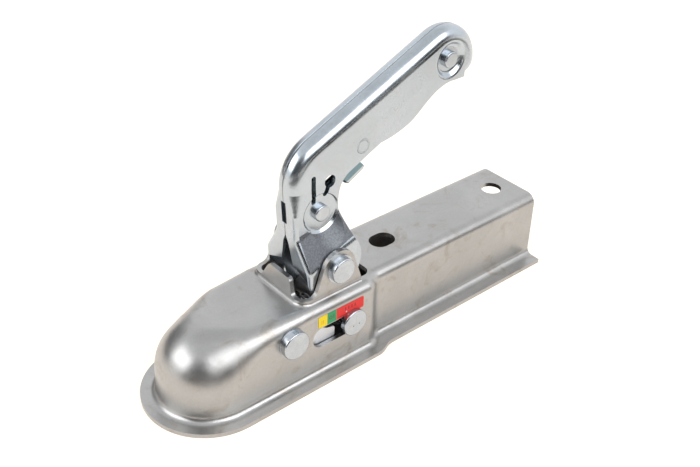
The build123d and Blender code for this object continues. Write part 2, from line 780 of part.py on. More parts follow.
def make_catch():
    """A folded catch on the neck rivet, with its finger pad below the grip."""
    outer_y = grip_inner_y - catch_side_gap
    inner_y = outer_y - catch_sheet
    neck = (neck_rivet_x + catch_neck_reach, neck_rivet_z + catch_neck_rise)
    heel = stepped_from(neck, catch_heel_length, -45)
    heel_end = stepped_from(heel, catch_heel_blunt, (catch_pad_slope - 45) / 2 - 20)
    toe = stepped_from(heel_end, catch_pad_length, catch_pad_slope)
    tip = stepped_from(toe, catch_toe_blunt, (catch_pad_slope + 90) / 2)
    top = stepped_from(tip, catch_side_length, catch_side_slope)
    arm_top = stepped_from(neck, 1.5 * catch_arm_width, 189)
    arm_root = (neck_rivet_x - catch_arm_width / 4, neck_rivet_z + catch_arm_width)
    arm_foot = (neck_rivet_x + catch_arm_width, neck_rivet_z - catch_arm_width / 3)
    arm_low = stepped_from(arm_top, catch_arm_width, -42)
    outline = make_face(Polyline(neck, heel, heel_end, toe, tip, top, arm_top, arm_root, arm_foot, arm_low,
                                 close=True))
    heel_corner = [v for v in outline.vertices() if math.dist((v.X, v.Y), heel) < 0.01]
    outline = fillet(heel_corner, catch_corner_radius)
    outline += turned_face(catch_boss_radius, neck_rivet_x, neck_rivet_z)
    shape = on_side(outline, -outer_y, outer_y)
    long_edges = []
    for edge in shape.edges():
        start, end = edge @ 0, edge @ 1
        level = abs(start.Y - end.Y) < 0.01 and abs(abs(start.Y) - outer_y) < 0.01
        below = all(p.X > neck[0] - 0.1 and p.Z < tip[1] + 0.5 for p in (start, end))
        if level and below:
            long_edges.append(edge)
    shape = fillet(long_edges, catch_bend_radius)
    inside_neck = stepped_from(neck, catch_sheet, 45)
    inside_heel = stepped_from(heel, catch_sheet, 75)
    inside_heel_end = stepped_from(heel_end, catch_sheet, catch_pad_slope + 65)
    inside_toe = stepped_from(toe, catch_sheet, catch_pad_slope + 90)
    beyond = stepped_from(inside_toe, 2 * catch_pad_length, catch_pad_slope)
    above = (beyond[0], beyond[1] + 4 * catch_pad_length)
    before = (neck_rivet_x - 4 * catch_pad_length, above[1])
    below = (before[0], neck_rivet_z - 2 * catch_boss_radius)
    rear_of_boss = (neck[0] - catch_sheet, below[1])
    cut = Polyline(inside_neck, inside_heel, inside_heel_end, inside_toe, beyond, above, before, below,
                   rear_of_boss, neck, close=True)
    shape -= on_side(make_face(cut), -inner_y, inner_y)
    bore = spacer_diameter + 2 * running_clearance
    return shape - rod(neck_rivet_x, neck_rivet_z, bore, -outer_y - 1, outer_y + 1)


# Springs

def ring(x, z, radius, wire, y):
    """One closed loop of wire round a bar along Y."""
    return Pos(x, y, z) * Rot(90, 0, 0) * Torus(radius, wire / 2)


def wire_bar(foot, way, wire, length):
    """A straight run of wire from a point."""
    from_foot = (Align.CENTER, Align.CENTER, Align.MIN)
    return Plane(origin=foot, z_dir=way) * Cylinder(wire / 2, length, align=from_foot)


def make_lock_spring():
    """A pull spring between the jaw pin's sleeve and the lock pin's sleeve."""
    loop_radius = spacer_diameter / 2 + spring_loop_gap + lock_spring_wire / 2
    start = Vector(jaw_pin_x, 0, jaw_pin_z)
    end = Vector(lock_pin_x, 0, lock_pin_z)
    axis = (end - start).normalized()
    coil_start = start + axis * (loop_radius + lock_spring_wire)
    coil_length = (end - start).length - 2 * (loop_radius + lock_spring_wire)
    radius = (lock_spring_diameter - lock_spring_wire) / 2
    side = Vector(0, 1, 0)
    plane = Plane(origin=coil_start, x_dir=side, z_dir=axis)
    path = plane * Helix(pitch=coil_length / lock_spring_turns, height=coil_length, radius=radius)
    section = Plane(origin=path @ 0, z_dir=path % 0) * Circle(lock_spring_wire / 2)
    coil = sweep(section, path=path, is_frenet=True)
    spring = coil
    for centre, point, way in ((start, path @ 0, 1), (end, path @ 1, -1)):
        hook_foot = centre + axis * (loop_radius * way)
        spring += ring(centre.X, centre.Z, loop_radius, lock_spring_wire, 0)
        spring += wire_bar(hook_foot, point - hook_foot, lock_spring_wire, (point - hook_foot).length)
        spring += Pos(*point) * Sphere(lock_spring_wire / 2)
    return spring


def make_torsion_spring(x, z, bar_diameter, y, turns, start_angle, leg_length):
    """A few coils round a bar, with one straight leg from each end coil."""
    radius = bar_diameter / 2 + small_spring_gap + small_spring_wire / 2
    pitch = small_spring_wire * small_spring_pitch
    width = pitch * turns
    angle = math.radians(start_angle)
    start_way = (math.cos(angle), 0, math.sin(angle))
    plane = Plane(origin=(x, y - width / 2, z), x_dir=start_way, z_dir=(0, 1, 0))
    path = plane * Helix(pitch=pitch, height=width, radius=radius)
    section = Plane(origin=path @ 0, z_dir=path % 0) * Circle(small_spring_wire / 2)
    spring = sweep(section, path=path, is_frenet=True)
    for at, way in ((0, -1), (1, 1)):
        spring += wire_bar(path @ at, (path % at) * way, small_spring_wire, leg_length)
    return spring


# The set of parts

def washers(x, z, bore, outer, seat_y):
    """Two washers, one under each head."""
    pair = []
    for side in (-1, 1):
        from_y, to_y = sorted((side * seat_y, side * (seat_y + washer_thickness)))
        pair.append(tube(x, z, outer, bore, from_y, to_y))
    return pair


def make_label():
    face = Pos(label_front + label_length / 2, label_bottom + label_height / 2)
    face = face * RectangleRounded(label_length, label_height, label_corner)
    return on_side(face, -dome_radius - label_thickness, -dome_radius)


handle_near = make_handle_half()
pivot_washers = washers(pivot_x, pivot_z, pivot_diameter, pivot_head_diameter + 2 * washer_margin,
                        ear_outer_y)
jaw_washers = washers(jaw_pin_x, jaw_pin_z, jaw_pin_diameter, jaw_head_diameter + 2 * jaw_washer_margin,
                      dome_radius)
jaw_far_washers = washers(jaw_pin_x, jaw_pin_z, jaw_pin_diameter, jaw_far_washer_diameter, dome_radius)
lock_seat = dome_radius + slide_gap

parts = {
    "coupling_body": make_body(),
    "main_pivot_pin": headed_pin(pivot_x, pivot_z, pivot_diameter, (pivot_head_diameter, pivot_head_height),
                                 ear_outer_y + washer_thickness),
    "pivot_washer_near": pivot_washers[0],
    "pivot_washer_far": pivot_washers[1],
    "pivot_sleeve": tube(pivot_x, pivot_z, spacer_diameter + 3, pivot_diameter + 2 * running_clearance,
                         -pivot_sleeve_end, pivot_sleeve_end),
    "jaw_pin": headed_pin(jaw_pin_x, jaw_pin_z, jaw_pin_diameter, (jaw_head_diameter, jaw_head_height),
                          dome_radius + washer_thickness, (jaw_far_head_diameter, jaw_far_head_height)),
    "jaw_pin_washer_near": jaw_washers[0],
    "jaw_pin_washer_far": jaw_far_washers[1],
    "jaw_pin_sleeve": tube(jaw_pin_x, jaw_pin_z, spacer_diameter, jaw_pin_diameter + 2 * running_clearance,
                           -(jaw_outer_y - jaw_plate - slide_gap), jaw_outer_y - jaw_plate - slide_gap),
    "ball_jaw": make_jaw(),
    "lock_pin": headed_pin(lock_pin_x, lock_pin_z, lock_pin_diameter, (lock_head_diameter, lock_head_height),
                           lock_seat),
    "lock_pin_sleeve": tube(lock_pin_x, lock_pin_z, spacer_diameter, lock_pin_diameter + 2 * running_clearance,
                            -leg_inner_y + slide_gap, leg_inner_y - slide_gap),
    "lock_spring": make_lock_spring(),
    "jaw_spring": make_torsion_spring(jaw_pin_x, jaw_pin_z, spacer_diameter, jaw_spring_y, jaw_spring_turns,
                                      jaw_spring_start, jaw_spring_leg),
    "handle_half_near": handle_near,
    "handle_half_far": mirror(handle_near, Plane.XZ),
    "grip_end_rivet": headed_pin(end_rivet_x, end_rivet_z, rivet_neck_diameter, (rivet_diameter, rivet_stub),
                                 grip_half_width - eye_depth),
    "grip_end_spacer": tube(end_rivet_x, end_rivet_z, spacer_diameter, rivet_neck_diameter + 2 * running_clearance,
                            -(grip_inner_y - eye_depth), grip_inner_y - eye_depth),
    "neck_rivet": headed_pin(neck_rivet_x, neck_rivet_z, rivet_neck_diameter, (rivet_diameter, rivet_stub),
                             grip_half_width),
    "neck_spacer": tube(neck_rivet_x, neck_rivet_z, spacer_diameter, rivet_neck_diameter + 2 * running_clearance,
                        -grip_inner_y, grip_inner_y),
    "release_catch": make_catch(),
    "catch_spring": make_torsion_spring(neck_rivet_x, neck_rivet_z, spacer_diameter, 0, catch_spring_turns,
                                        catch_spring_start, catch_spring_leg),
    "indicator_label": make_label(),
}

os.makedirs("parts", exist_ok=True)
for name, shape in parts.items():
    export_step(shape, f"parts/{name}.step")
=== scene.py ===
import json
import math

import bpy
from mathutils import Matrix, Vector


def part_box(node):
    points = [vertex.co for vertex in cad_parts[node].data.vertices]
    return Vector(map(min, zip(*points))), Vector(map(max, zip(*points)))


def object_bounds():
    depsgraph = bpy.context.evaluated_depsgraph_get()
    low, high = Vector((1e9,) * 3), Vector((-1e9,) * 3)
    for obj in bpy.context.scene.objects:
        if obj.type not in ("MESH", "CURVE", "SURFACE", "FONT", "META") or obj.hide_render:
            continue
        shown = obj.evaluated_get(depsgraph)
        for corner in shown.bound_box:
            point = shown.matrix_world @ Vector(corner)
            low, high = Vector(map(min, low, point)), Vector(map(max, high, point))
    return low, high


# Trailer coupling head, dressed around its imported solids. Metres throughout.

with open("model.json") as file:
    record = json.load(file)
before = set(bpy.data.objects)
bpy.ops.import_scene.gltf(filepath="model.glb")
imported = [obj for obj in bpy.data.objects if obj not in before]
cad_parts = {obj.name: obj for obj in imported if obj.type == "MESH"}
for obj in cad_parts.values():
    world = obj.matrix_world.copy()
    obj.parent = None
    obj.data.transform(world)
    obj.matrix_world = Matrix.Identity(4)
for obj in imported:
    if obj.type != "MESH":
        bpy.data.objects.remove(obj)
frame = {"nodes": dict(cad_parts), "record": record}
cadBox = [list(corner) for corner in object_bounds()]
print("loaded", len(frame["nodes"]), "nodes")


# Small helpers for node trees

# Makes a node, sets its options, then its inputs by name or number: a socket is linked, a value is set.
def addNode(tree, kind, settings=None, sockets=None):
    node = tree.nodes.new(kind)
    for name, value in (settings or {}).items():
        setattr(node, name, value)
    for name, value in (sockets or {}).items():
        if isinstance(value, bpy.types.NodeSocket):
            tree.links.new(value, node.inputs[name])
        else:
            node.inputs[name].default_value = value
    return node


def mathNode(tree, operation, first, second=0.0, clamp=False):
    settings = {"operation": operation, "use_clamp": clamp}
    return addNode(tree, "ShaderNodeMath", settings, {0: first, 1: second}).outputs[0]


def vectorNode(tree, operation, first, second=None):
    sockets = {0: first} if second is None else {0: first, 1: second}
    node = addNode(tree, "ShaderNodeVectorMath", {"operation": operation}, sockets)
    return node.outputs["Value" if operation in ("DOT_PRODUCT", "LENGTH") else "Vector"]


def scaleNode(tree, vector, scale):
    sockets = {0: vector, "Scale": scale}
    return addNode(tree, "ShaderNodeVectorMath", {"operation": "SCALE"}, sockets).outputs["Vector"]


def splitNode(tree, vector):
    return addNode(tree, "ShaderNodeSeparateXYZ", None, {0: vector}).outputs


def noiseNode(tree, vector, scale, detail=4.0, roughness=0.5, distortion=0.0):
    sockets = {"Vector": vector, "Scale": scale, "Detail": detail, "Roughness": roughness,
               "Distortion": distortion}
    return addNode(tree, "ShaderNodeTexNoise", None, sockets).outputs["Fac"]


# Carries a value from one span to another, softly at both ends.
def rangeNode(tree, value, span, result):
    sockets = {"Value": value, "From Min": span[0], "From Max": span[1], "To Min": result[0],
               "To Max": result[1]}
    settings = {"interpolation_type": "SMOOTHSTEP"}
    return addNode(tree, "ShaderNodeMapRange", settings, sockets).outputs["Result"]


def mixColour(tree, factor, first, second):
    node = addNode(tree, "ShaderNodeMix", {"data_type": "RGBA"})
    for name, kind, value in (("Factor", "VALUE", factor), ("A", "RGBA", first), ("B", "RGBA", second)):
        socket = [s for s in node.inputs if s.name == name and s.type == kind][0]
        if isinstance(value, bpy.types.NodeSocket):
            tree.links.new(value, socket)
        else:
            socket.default_value = value
    return [s for s in node.outputs if s.type == "RGBA"][0]


# An empty shader group with its inputs given as (name, socket type, default) and outputs as (name, type).
def newGroup(name, inputs, outputs):
    tree = bpy.data.node_groups.new(name, "ShaderNodeTree")
    for label, kind, value in inputs:
        socket = tree.interface.new_socket(label, in_out="INPUT", socket_type=kind)
        if value is not None:
            socket.default_value = value
    for label, kind in outputs:
        tree.interface.new_socket(label, in_out="OUTPUT", socket_type=kind)
    return tree, tree.nodes.new("NodeGroupInput").outputs, tree.nodes.new("NodeGroupOutput").inputs


def groupNode(tree, group, sockets, output="Mask"):
    return addNode(tree, "ShaderNodeGroup", {"node_tree": group}, sockets).outputs[output]


def objectPlace(tree):
    return tree.nodes.new("ShaderNodeTexCoord").outputs["Object"]


def newMaterial(name):
    material = bpy.data.materials.new(name)
    material.use_nodes = True
    return material, material.node_tree, material.node_tree.nodes["Principled BSDF"]


# Shared effects

plateGrain = {
    "cloud": (5.0, 0.6, 0.4),            # detail, roughness and distortion of the noise
    "cloudSpan": (0.35, 0.65),
    "cloudTone": (0.93, 1.05),
    "cloudHeight": 3.0,
    "crystalScale": 900.0,
    "crystal": (3.0, 0.6),
    "crystalSpan": (0.3, 0.7),
    "crystalTone": (0.97, 1.03),
    "patchRatio": 1.9,                   # the stains' scale, as a share of the clouds'
    "patch": (6.0, 0.65, 1.2),
    "patchSpan": (0.52, 0.72),
}


# Plated sheet: broad clouds, fine crystals and faint brown stains, as colour, roughness and height.
def makeZincPlate(grain):
    inputs = [("Vector", "NodeSocketVector", None), ("Plate", "NodeSocketColor", (0.6, 0.6, 0.6, 1)),
              ("Stain", "NodeSocketColor", (0.4, 0.3, 0.2, 1)), ("Stain Amount", "NodeSocketFloat", 0.2),
              ("Cloud Scale", "NodeSocketFloat", 30.0), ("Roughness Low", "NodeSocketFloat", 0.3),
              ("Roughness High", "NodeSocketFloat", 0.4)]
    outputs = [("Color", "NodeSocketColor"), ("Roughness", "NodeSocketFloat"), ("Height", "NodeSocketFloat")]
    tree, given, made = newGroup("zincPlate", inputs, outputs)
    place = given["Vector"]
    patchScale = mathNode(tree, "MULTIPLY", given["Cloud Scale"], grain["patchRatio"])
    cloud = noiseNode(tree, place, given["Cloud Scale"], *grain["cloud"])
    crystal = noiseNode(tree, place, grain["crystalScale"], *grain["crystal"])
    patch = noiseNode(tree, place, patchScale, *grain["patch"])
    cloudTone = rangeNode(tree, cloud, grain["cloudSpan"], grain["cloudTone"])
    crystalTone = rangeNode(tree, crystal, grain["crystalSpan"], grain["crystalTone"])
    toned = scaleNode(tree, given["Plate"], mathNode(tree, "MULTIPLY", cloudTone, crystalTone))
    stained = mathNode(tree, "MULTIPLY", rangeNode(tree, patch, grain["patchSpan"], (0, 1)),
                       given["Stain Amount"])
    tree.links.new(mixColour(tree, stained, toned, given["Stain"]), made["Color"])
    span = mathNode(tree, "SUBTRACT", given["Roughness High"], given["Roughness Low"])
    rough = mathNode(tree, "MULTIPLY", rangeNode(tree, cloud, grain["cloudSpan"], (0, 1)), span)
    tree.links.new(mathNode(tree, "ADD", rough, given["Roughness Low"]), made["Roughness"])
    height = mathNode(tree, "ADD", crystal, mathNode(tree, "MULTIPLY", cloud, grain["cloudHeight"]))
    tree.links.new(height, made["Height"])
    return tree


# One inside a rectangle in X and Z, nothing outside it.
def makeFieldMask():
    names = ["Low X", "High X", "Low Z", "High Z"]
    inputs = [("Vector", "NodeSocketVector", None)] + [(n, "NodeSocketFloat", 0.0) for n in names]
    tree, given, made = newGroup("fieldMask", inputs, [("Mask", "NodeSocketFloat")])
    split = splitNode(tree, given["Vector"])
    mask = None
    for axis in ("X", "Z"):
        above = mathNode(tree, "GREATER_THAN", split[axis], given["Low " + axis])
        below = mathNode(tree, "LESS_THAN", split[axis], given["High " + axis])
        both = mathNode(tree, "MULTIPLY", above, below)
        mask = both if mask is None else mathNode(tree, "MULTIPLY", mask, both)
    tree.links.new(mask, made["Mask"])
    return tree


# Nothing on one side of a line in the X-Z plane, one on the other, with a soft change between.
def makeSideMask():
    inputs = [("Vector", "NodeSocketVector", None), ("Way", "NodeSocketVector", None),
              ("Offset", "NodeSocketFloat", 0.0), ("Softness", "NodeSocketFloat", 0.0002)]
    tree, given, made = newGroup("sideMask", inputs, [("Mask", "NodeSocketFloat")])
    along = vectorNode(tree, "DOT_PRODUCT", given["Vector"], given["Way"])
    past = mathNode(tree, "SUBTRACT", along, given["Offset"])
    tree.links.new(mathNode(tree, "DIVIDE", past, given["Softness"], clamp=True), made["Mask"])
    return tree


# One inside a circle in the X-Z plane, nothing outside it, with a soft edge.
def makeDiscMask():
    inputs = [("Vector", "NodeSocketVector", None), ("Centre", "NodeSocketVector", None),
              ("Radius", "NodeSocketFloat", 0.001), ("Softness", "NodeSocketFloat", 0.0002)]
    tree, given, made = newGroup("discMask", inputs, [("Mask", "NodeSocketFloat")])
    offset = vectorNode(tree, "SUBTRACT", given["Vector"], given["Centre"])
    reach = vectorNode(tree, "LENGTH", vectorNode(tree, "MULTIPLY", offset, (1, 0, 1)))
    inside = mathNode(tree, "SUBTRACT", given["Radius"], reach)
    tree.links.new(mathNode(tree, "DIVIDE", inside, given["Softness"], clamp=True), made["Mask"])
    return tree


# A row of short upright bars along a line: the height of plain stamped marks.
def makeBarRow():
    names = ["Start", "End", "Low", "High", "Pitch", "Fill"]
    inputs = [("Along", "NodeSocketFloat", 0.0), ("Across", "NodeSocketFloat", 0.0)]
    inputs += [(name, "NodeSocketFloat", 0.001) for name in names]
    tree, given, made = newGroup("barRow", inputs, [("Mask", "NodeSocketFloat")])
    step = mathNode(tree, "FRACT", mathNode(tree, "DIVIDE", given["Along"], given["Pitch"]))
    mask = mathNode(tree, "LESS_THAN", step, given["Fill"])
    for value, low, high in (("Along", "Start", "End"), ("Across", "Low", "High")):
        mask = mathNode(tree, "MULTIPLY", mask, mathNode(tree, "GREATER_THAN", given[value], given[low]))
        mask = mathNode(tree, "MULTIPLY", mask, mathNode(tree, "LESS_THAN", given[value], given[high]))
    tree.links.new(mask, made["Mask"])
    return tree


zincPlate = makeZincPlate(plateGrain)
fieldMask = makeFieldMask()
sideMask = makeSideMask()
discMask = makeDiscMask()
barRow = makeBarRow()
print("shared effects ready")


# Plated steel

def makePlatedSteel(name, look):
    material, tree, shader = newMaterial(name)
    low, high = look["roughness"]
    sockets = {"Vector": objectPlace(tree), "Plate": look["plate"], "Stain": look["stain"],
               "Stain Amount": look["stainAmount"], "Cloud Scale": look["cloudScale"],
               "Roughness Low": low, "Roughness High": high}
    plate = addNode(tree, "ShaderNodeGroup", {"node_tree": zincPlate}, sockets).outputs
    sockets = {"Strength": look["bumpStrength"], "Distance": look["bumpDistance"], "Height": plate["Height"]}
    bump = addNode(tree, "ShaderNodeBump", None, sockets)
    tree.links.new(plate["Color"], shader.inputs["Base Color"])
    tree.links.new(plate["Roughness"], shader.inputs["Roughness"])
    tree.links.new(bump.outputs["Normal"], shader.inputs["Normal"])
    shader.inputs["Metallic"].default_value = 1.0
    return material


# What feeds one of the shader's inputs now, so that a piece's own marks can be laid over it.
def feedOf(shader, name):
    return shader.inputs[name].links[0].from_socket


bodyLook = {
    "plate": (0.430, 0.427, 0.420, 1),
    "stain": (0.31, 0.27, 0.22, 1),
    "stainAmount": 0.62,
    "cloudScale": 34.0,
    "roughness": (0.30, 0.38),
    "bumpStrength": 0.10,
    "bumpDistance": 0.0001,
}
handleLook = {
    "plate": (0.475, 0.52, 0.56, 1),
    "stain": (0.50, 0.46, 0.42, 1),
    "stainAmount": 0.12,
    "cloudScale": 45.0,
    "roughness": (0.20, 0.28),
    "bumpStrength": 0.08,
    "bumpDistance": 0.0001,
}
pinLook = {
    "plate": (0.475, 0.51, 0.55, 1),
    "stain": (0.46, 0.44, 0.42, 1),
    "stainAmount": 0.15,
    "cloudScale": 90.0,
    "roughness": (0.18, 0.26),
    "bumpStrength": 0.10,
    "bumpDistance": 0.0001,
}
catchLook = {
    "plate": (0.17, 0.26, 0.30, 1),
    "stain": (0.50, 0.47, 0.44, 1),
    "stainAmount": 0.15,
    "cloudScale": 90.0,
    "roughness": (0.18, 0.26),
    "bumpStrength": 0.10,
    "bumpDistance": 0.0001,
}
jawLook = {
    "plate": (0.62, 0.65, 0.69, 1),
    "stain": (0.40, 0.36, 0.32, 1),
    "stainAmount": 0.3,
    "cloudScale": 60.0,
    "roughness": (0.34, 0.42),
    "bumpStrength": 0.1,
    "bumpDistance": 0.0001,
}
innerLook = {
    "plate": (0.30, 0.30, 0.30, 1),
    "stain": (0.20, 0.17, 0.14, 1),
    "stainAmount": 0.4,
    "cloudScale": 80.0,
    "roughness": (0.38, 0.5),
    "bumpStrength": 0.15,
    "bumpDistance": 0.0001,
}
springLook = {
    "plate": (0.20, 0.20, 0.21, 1),
    "stain": (0.12, 0.10, 0.08, 1),
    "stainAmount": 0.3,
    "cloudScale": 300.0,
    "roughness": (0.3, 0.4),
    "bumpStrength": 0.05,
    "bumpDistance": 0.00005,
}


# Lever: its seam, a dull grainy flare whose colour is darkened as painted shade for its dark reflection,
# plain stamped marks and slightly wavy bends

leverLook = {
    "seamHalf": 0.00009,
    "seamEdge": 0.0006,
    "seamDepth": 2.5,                    # in bump distances, as the other heights here
    "seamColour": (0.10, 0.11, 0.12, 1),
    # The flare's colour: its dull grain is real, its darkness is painted shade standing in for a dark
    # reflection.
    "flareDullPaintedShade": (0.155, 0.165, 0.18),
    "flareRoughness": 0.48,
    "flareGrain": (1100.0, 2.0, 0.7),    # scale, detail and roughness of the noise
    "grainSpan": (0.3, 0.7),
    "grainTone": (0.8, 1.2),
    "flareSides": (                      # direction and offset of each line round the flare
        ((1, 0, 0), 0.0533),             # the front corner
        ((-0.351, 0, 0.936), 0.0227),    # along the lower bend
        ((0.196, 0, -0.981), -0.0505),   # along the upper bend
    ),
    "rivetPlace": (0.0673, 0, 0.0715),
    "rivetFlat": 0.0121,
    "gripWay": (0.9128, 0, 0.4083),
    "gripUp": (-0.4083, 0, 0.9128),
    "rows": (
        {"Start": 0.1240, "End": 0.1800, "Low": 0.0560, "High": 0.0592, "Pitch": 0.0034, "Fill": 0.55},
        {"Start": 0.1370, "End": 0.1640, "Low": 0.0478, "High": 0.0502, "Pitch": 0.0030, "Fill": 0.5},
    ),
    "ringPlace": (0.0958, 0, 0.1000),
    "ringRadius": 0.0042,
    "ringHollow": 0.82,                  # inner radius, as a share of the outer one
    "stampSide": 0.0070,                 # marks stand only on the flat sides, past this distance
    "markHeight": 3.5,
    "waves": (26.0, 2.0, 0.5),
    "waveHeight": 0.00035,
    "bumpDistance": 0.00015,
}


# One on the flare's near and far sides, apart from the round flat under the neck rivet: where the rougher
# finish and the painted shade go.
def makeDullShadeFlareMask(tree, place, look):
    sockets = {"Vector": place, "Centre": look["rivetPlace"], "Radius": look["rivetFlat"]}
    mask = mathNode(tree, "SUBTRACT", 1.0, groupNode(tree, discMask, sockets))
    for way, offset in look["flareSides"]:
        side = groupNode(tree, sideMask, {"Vector": place, "Way": way, "Offset": offset})
        mask = mathNode(tree, "MULTIPLY", mask, side)
    return mask


# Two rows of short bars along the grip, and a ring.
def makeStampMask(tree, place, across, look):
    along = vectorNode(tree, "DOT_PRODUCT", place, look["gripWay"])
    upward = vectorNode(tree, "DOT_PRODUCT", place, look["gripUp"])
    rows = [groupNode(tree, barRow, {"Along": along, "Across": upward} | row) for row in look["rows"]]
    marks = mathNode(tree, "ADD", rows[0], rows[1])
    for share, sign in ((1.0, 1.0), (look["ringHollow"], -1.0)):
        sockets = {"Vector": place, "Centre": look["ringPlace"], "Radius": look["ringRadius"] * share}
        disc = groupNode(tree, discMask, sockets)
        marks = mathNode(tree, "ADD", marks, mathNode(tree, "MULTIPLY", disc, sign))
    return mathNode(tree, "MULTIPLY", marks, mathNode(tree, "GREATER_THAN", across, look["stampSide"]))


def makeLeverSteel(name, plateLook, look):
    material = makePlatedSteel(name, plateLook)
    tree = material.node_tree
    shader = tree.nodes["Principled BSDF"]
    place = objectPlace(tree)
    across = mathNode(tree, "ABSOLUTE", splitNode(tree, place)["Y"])
    flare = makeDullShadeFlareMask(tree, place, look)
    grain = rangeNode(tree, noiseNode(tree, place, *look["flareGrain"]), look["grainSpan"], look["grainTone"])
    # Painted shade: the flare darkened, with real grain laid in it.
    dullAndPaintedShade = scaleNode(tree, look["flareDullPaintedShade"], grain)
    seam = rangeNode(tree, across, (look["seamHalf"], 2 * look["seamHalf"]), (1, 0))
    colour = mixColour(tree, flare, feedOf(shader, "Base Color"), dullAndPaintedShade)
    tree.links.new(mixColour(tree, seam, colour, look["seamColour"]), shader.inputs["Base Color"])
    rough = feedOf(shader, "Roughness")
    rougher = mathNode(tree, "MULTIPLY", flare, mathNode(tree, "SUBTRACT", look["flareRoughness"], rough))
    tree.links.new(mathNode(tree, "ADD", rough, rougher), shader.inputs["Roughness"])
    marks = makeStampMask(tree, place, across, look)
    wave = mathNode(tree, "MULTIPLY", noiseNode(tree, place, *look["waves"]),
                    look["waveHeight"] / look["bumpDistance"])
    height = mathNode(tree, "ADD", mathNode(tree, "MULTIPLY", marks, look["markHeight"]), wave)
    shoulder = rangeNode(tree, across, (0, look["seamEdge"]), (0, look["seamDepth"]))
    height = mathNode(tree, "ADD", height, shoulder)
    sockets = {"Strength": 1.0, "Distance": look["bumpDistance"], "Height": height,
               "Normal": feedOf(shader, "Normal")}
    bump = addNode(tree, "ShaderNodeBump", None, sockets)
    tree.links.new(bump.outputs["Normal"], shader.inputs["Normal"])
    return material


# Catch: bluish, with a painted highlight along its lower edge and painted shade where it sits inside the
# lever

catchEdge = {
    "way": (0.474, 0, -0.880),           # out through the pad's underside
    "offset": -0.0297,
    "softness": 0.0007,
    # A pale colour on the pad's lower edge: a painted highlight standing in for light on its rounded edge.
    "paintedHighlight": (0.55, 0.60, 0.62, 1),
    # Painted shade: the catch darkened where it sits inside the lever.
    "insideWay": (-0.880, 0, -0.474),
    "insideOffset": -0.1085,
    "dark": (0.03, 0.04, 0.045, 1),
}


def makeCatchSteel(name, look, edge):
    material = makePlatedSteel(name, look)
    tree = material.node_tree
    shader = tree.nodes["Principled BSDF"]
    place = objectPlace(tree)
    low = {"Vector": place, "Way": edge["way"], "Offset": edge["offset"], "Softness": edge["softness"]}
    inside = {"Vector": place, "Way": edge["insideWay"], "Offset": edge["insideOffset"]}
    plain = feedOf(shader, "Base Color")
    # Painted highlight along the lower edge.
    colour = mixColour(tree, groupNode(tree, sideMask, low), plain, edge["paintedHighlight"])
    # Painted shade on the part inside the lever.
    colour = mixColour(tree, groupNode(tree, sideMask, inside), colour, edge["dark"])
    tree.links.new(colour, shader.inputs["Base Color"])
    return material


# Lock pin: two small dents and a faint pressed cross in its head, drawn as painted shade: dark dots and
# darker lines

dentLook = {
    "offsets": [(-0.0017, -0.0011), (0.0023, -0.0010)],
    "radius": 0.00055,
    "softness": 0.0003,
    # The dents' dark dots and the cross's darker lines are painted shade.
    "dark": (0.10, 0.11, 0.12, 1),
    "lineHalf": 0.00022,
    "lineReach": 0.0052,
    "crossShade": (0.40, 0.44, 0.49, 1),
    "lineShare": 0.6,
}


def makeDentedHead(name, plateLook, look):
    material = makePlatedSteel(name, plateLook)
    tree = material.node_tree
    shader = tree.nodes["Principled BSDF"]
    place = objectPlace(tree)
    low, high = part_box("lock_pin")
    midX, midZ = (low[0] + high[0]) / 2, (low[2] + high[2]) / 2
    half, reach = look["lineHalf"], look["lineReach"]
    colour = feedOf(shader, "Base Color")
    for halfX, halfZ in ((half, reach), (reach, half)):
        sockets = {"Vector": place, "Low X": midX - halfX, "High X": midX + halfX,
                   "Low Z": midZ - halfZ, "High Z": midZ + halfZ}
        line = mathNode(tree, "MULTIPLY", groupNode(tree, fieldMask, sockets), look["lineShare"])
        colour = mixColour(tree, line, colour, look["crossShade"])
    # Painted shade: dark dots where the dents are.
    for alongX, alongZ in look["offsets"]:
        sockets = {"Vector": place, "Centre": (midX + alongX, 0, midZ + alongZ),
                   "Radius": look["radius"], "Softness": look["softness"]}
        colour = mixColour(tree, groupNode(tree, discMask, sockets), colour, look["dark"])
    tree.links.new(colour, shader.inputs["Base Color"])
    return material


# Indicator label: three fields of colour with plain dark shapes

labelLook = {
    "yellow": (0.95, 0.70, 0.02, 1),
    "green": (0.045, 0.34, 0.13, 1),
    "red": (0.78, 0.04, 0.035, 1),
    "greenStart": 0.0568,
    "redStart": 0.0631,
    "margin": 1.0,                       # carries the fields well past the film's edges
    "ink": (0.10, 0.02, 0.03, 1),
    "paleInk": (0.62, 0.34, 0.04, 1),
    "inkShare": 0.9,
    "paleBars": [(0.0530, 0.0534, 0.0172, 0.0196), (0.0540, 0.0544, 0.0172, 0.0196)],
    "darkBars": [                        # low X, high X, low Z, high Z
        (0.0610, 0.0615, 0.0176, 0.0204),
        (0.0690, 0.0696, 0.0186, 0.0206),
        (0.0712, 0.0718, 0.0186, 0.0206),
        (0.0734, 0.0740, 0.0186, 0.0206),
        (0.0756, 0.0762, 0.0186, 0.0206),
        # This bar along the red field's lower edge stands partly for a row of small print and partly for
        # painted shade near the pin.
        (0.0645, 0.0770, 0.0160, 0.0164),
    ],
    "ringPlace": (0.0592, 0, 0.0189),
    "ringRadii": (0.0012, 0.0008),
    "dot": (0.75, 0.72, 0.70, 1),
    "dotPlace": (0.0700, 0, 0.0176),
    "dotRadius": 0.00055,
    "roughness": 0.35,
    "gloss": 0.25,
}


